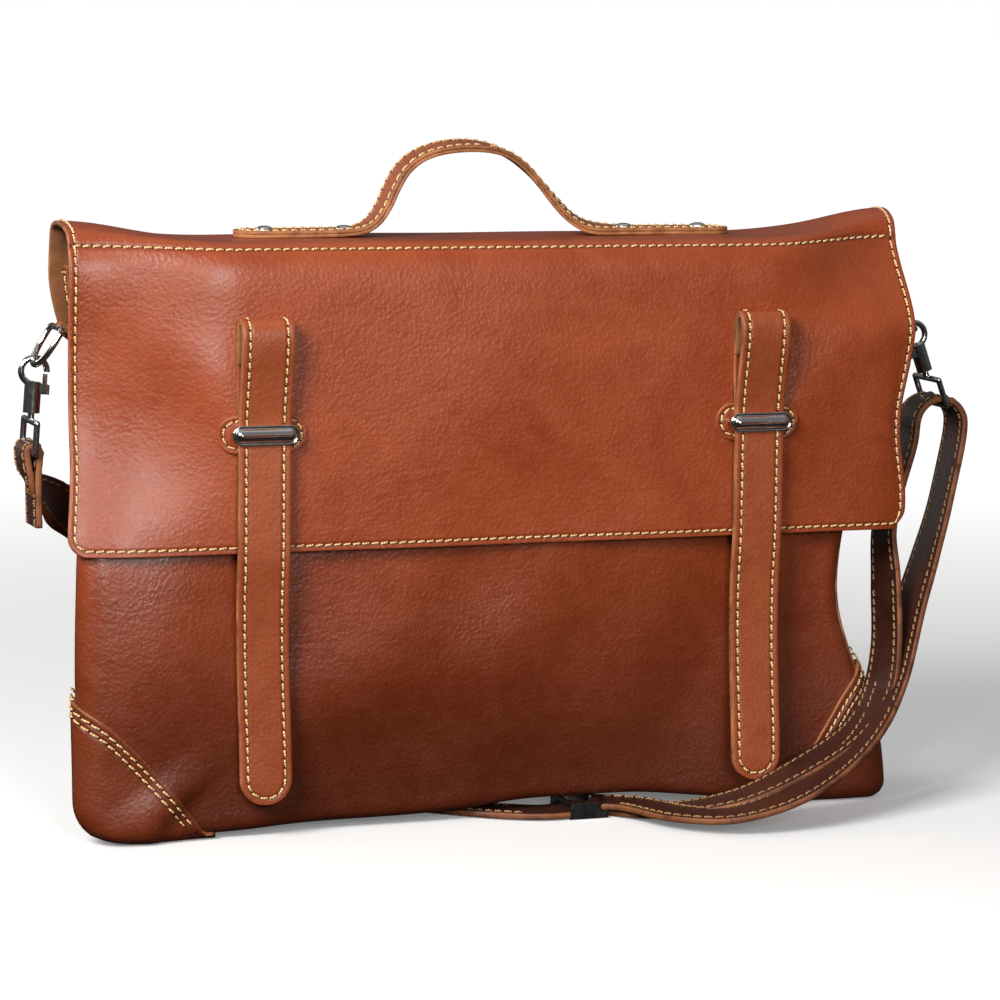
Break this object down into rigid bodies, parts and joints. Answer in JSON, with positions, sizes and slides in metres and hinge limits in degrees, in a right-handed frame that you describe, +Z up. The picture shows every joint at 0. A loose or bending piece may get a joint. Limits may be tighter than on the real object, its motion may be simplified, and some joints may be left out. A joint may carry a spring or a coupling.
{
  "type": "leather briefcase",
  "caption": "Soft leather satchel briefcase with a fold-over flap, two closure straps, a riveted top handle and a clip-on shoulder strap.",
  "frame": {"origin": "middle of the case's footprint on the floor", "axes": "+Z up, front of the case faces -Y, +X towards the right end as seen from the front"},
  "size_m": [0.4995, 0.2053, 0.3302],
  "materials": {
    "case_leather": "smooth, waxed",
    "patch_leather": "smooth, waxed",
    "strap_leather": "smooth, waxed",
    "suede": "napped",
    "lining_fabric": "plain weave",
    "stiffener_board": "matte",
    "chrome": "polished nickel"
  },
  "bodies": {
    "case": {"front_panel": "case_leather", "back_panel": "case_leather", "bottom_panel": "case_leather", "left_gusset": "case_leather", "right_gusset": "case_leather", "front_left_corner_patch": "patch_leather", "front_right_corner_patch": "patch_leather", "back_left_corner_patch": "patch_leather", "back_right_corner_patch": "patch_leather", "base_board": "stiffener_board", "lining": "lining_fabric", "padded_divider": "lining_fabric", "slip_pocket": "suede", "snap_sockets": "chrome", "left_ring_tab": "patch_leather", "right_ring_tab": "patch_leather", "tab_rivets": "chrome", "shoulder_strap_right_run": "strap_leather", "shoulder_strap_return_run": "strap_leather", "shoulder_strap_floor_run": "strap_leather", "shoulder_strap_left_run": "strap_leather"},
    "top": {"flap_top": "case_leather", "handle_backing": "suede", "handle_lower_layer": "strap_leather", "handle_upper_layer": "strap_leather", "handle_rivets": "chrome"},
    "flap": {"flap_front": "case_leather", "flap_facing": "suede", "left_keeper_patch": "patch_leather", "right_keeper_patch": "patch_leather", "left_keeper": "chrome", "right_keeper": "chrome", "left_strap_loop": "strap_leather", "right_strap_loop": "strap_leather"},
    "slider": {"strap_slider": "chrome"},
    "left_strap": {"left_closure_strap": "strap_leather", "left_snap_plug": "chrome"},
    "left_ring": {"left_d_ring": "chrome"},
    "left_clip": {"left_swivel_eye": "chrome", "left_strap_end": "strap_leather"},
    "left_hook": {"left_snap_hook": "chrome", "left_gate_pin": "chrome"},
    "left_gate": {"left_hook_gate": "chrome"},
    "right_strap": {"right_closure_strap": "strap_leather", "right_snap_plug": "chrome"},
    "right_ring": {"right_d_ring": "chrome"},
    "right_clip": {"right_swivel_eye": "chrome", "right_strap_end": "strap_leather"},
    "right_hook": {"right_snap_hook": "chrome", "right_gate_pin": "chrome"},
    "right_gate": {"right_hook_gate": "chrome"}
  },
  "joints": [
    {"name": "rear_crease", "type": "hinge", "parent": "case", "child": "top", "pos_m": [0, 0.0366, 0.284], "axis": [-1, 0, 0], "range_deg": [0, 115]},
    {"name": "front_crease", "type": "hinge", "parent": "top", "child": "flap", "pos_m": [0, -0.042, 0.282], "axis": [-1, 0, 0], "range_deg": [0, 110]},
    {"name": "left_strap_lift", "type": "hinge", "parent": "flap", "child": "left_strap", "pos_m": [-0.127, -0.0502, 0.19], "axis": [-1, 0, 0], "range_deg": [0, 100]},
    {"name": "right_strap_lift", "type": "hinge", "parent": "flap", "child": "right_strap", "pos_m": [0.127, -0.0502, 0.19], "axis": [-1, 0, 0], "range_deg": [0, 100]},
    {"name": "left_ring_swing", "type": "hinge", "parent": "case", "child": "left_ring", "pos_m": [-0.215, 0, 0.245], "axis": [0, 1, 0], "range_deg": [-6, 30]},
    {"name": "left_clip_swing", "type": "hinge", "parent": "left_ring", "child": "left_clip", "pos_m": [-0.22586, 0, 0.22762], "axis": [0, 1, 0], "range_deg": [-6, 20]},
    {"name": "left_hook_swivel", "type": "hinge", "parent": "left_clip", "child": "left_hook", "pos_m": [-0.22586, 0, 0.22762], "axis": [-0.0698, 0, -0.9976], "range_deg": [-30, 30]},
    {"name": "left_gate", "type": "hinge", "parent": "left_hook", "child": "left_gate", "pos_m": [-0.22109, 0, 0.21565], "axis": [0, -1, 0], "range_deg": [0, 25], "stiffness_Nm_per_rad": 0.01},
    {"name": "right_ring_swing", "type": "hinge", "parent": "case", "child": "right_ring", "pos_m": [0.215, 0, 0.245], "axis": [0, -1, 0], "range_deg": [-6, 30]},
    {"name": "right_clip_swing", "type": "hinge", "parent": "right_ring", "child": "right_clip", "pos_m": [0.23373, 0, 0.23666], "axis": [0, -1, 0], "range_deg": [-6, 20]},
    {"name": "right_hook_swivel", "type": "hinge", "parent": "right_clip", "child": "right_hook", "pos_m": [0.23373, 0, 0.23666], "axis": [0.342, 0, -0.9397], "range_deg": [-30, 30]},
    {"name": "right_gate", "type": "hinge", "parent": "right_hook", "child": "right_gate", "pos_m": [0.23243, 0, 0.22385], "axis": [0, 1, 0], "range_deg": [0, 25], "stiffness_Nm_per_rad": 0.01},
    {"name": "slider_slide", "type": "slide", "parent": "case", "child": "slider", "axis": [1, 0, 0], "range_m": [-0.016, 0]}
  ]
}
